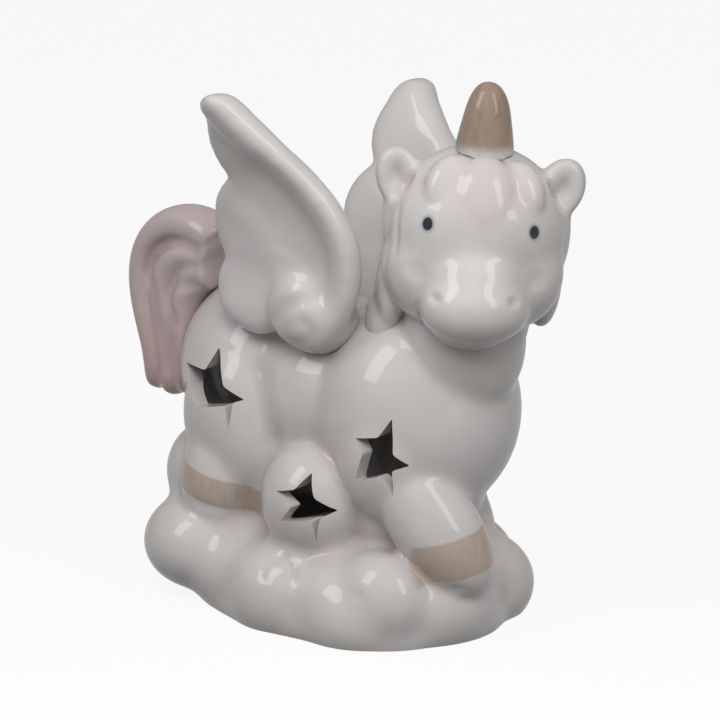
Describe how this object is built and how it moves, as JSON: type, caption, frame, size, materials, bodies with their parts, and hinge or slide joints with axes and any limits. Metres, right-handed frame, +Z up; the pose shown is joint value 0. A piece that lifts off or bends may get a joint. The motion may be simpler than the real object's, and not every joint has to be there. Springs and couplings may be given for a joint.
{
  "type": "unicorn figurine",
  "caption": "Glazed porcelain unicorn with wings on a cloud, hollow with star windows, and a battery LED lamp in the base.",
  "frame": {"origin": "on the table, under the middle of the whole figure's box", "axes": "+Z up, the animal's body faces -Y and its right side is -X"},
  "size_m": [0.084, 0.1308, 0.1339],
  "materials": {
    "porcelain_body": "glossy white glaze over slip-cast porcelain, with tan painted bands",
    "porcelain_head": "glossy white glaze, with pale pink mane and forelock and dark painted eyes",
    "porcelain_horn": "tan brushed paint under a clear glaze",
    "porcelain_wings": "glossy white glaze",
    "porcelain_tail": "pale pink under a clear glaze",
    "lamp_plastic": "moulded, finely textured",
    "foam_tape": "double sided foam tape",
    "cell_steel": "nickel plated can",
    "contact_steel": "nickel plated strip",
    "board": "glass fibre board with solder mask",
    "screw_steel": "zinc plated",
    "led_resin": "diffused resin lens",
    "tinned_steel": "tinned",
    "resistor_body": "lacquered barrel",
    "switch_case": "moulded",
    "switch_knob": "moulded"
  },
  "bodies": {
    "figurine": {"body_casting": "porcelain_body", "cloud_base": "porcelain_body", "hind_leg_right": "porcelain_body", "hind_leg_left": "porcelain_body", "foreleg_right": "porcelain_body", "foreleg_left": "porcelain_body", "head_casting": "porcelain_head", "horn": "porcelain_horn", "wing_right": "porcelain_wings", "wing_left": "porcelain_wings", "tail": "porcelain_tail", "lamp_base": "lamp_plastic", "lamp_cap": "lamp_plastic", "adhesive_ring": "foam_tape", "coin_cell": "cell_steel", "contact_positive": "contact_steel", "contact_negative": "contact_steel", "circuit_board": "board", "board_screws": "screw_steel", "led_lens": "led_resin", "led_leads": "tinned_steel", "resistor": "resistor_body", "switch_body": "switch_case"},
    "battery_cover": {"battery_cover": "lamp_plastic"},
    "switch_slider": {"switch_slider": "switch_knob"}
  },
  "joints": [
    {"name": "switch_slide", "type": "slide", "parent": "figurine", "child": "switch_slider", "axis": [1, 0, 0], "range_m": [0, 0.002]},
    {"name": "cover_twist", "type": "hinge", "parent": "figurine", "child": "battery_cover", "pos_m": [0, -0.0038, 0.001], "axis": [0, 0, -1], "range_deg": [0, 40]}
  ]
}
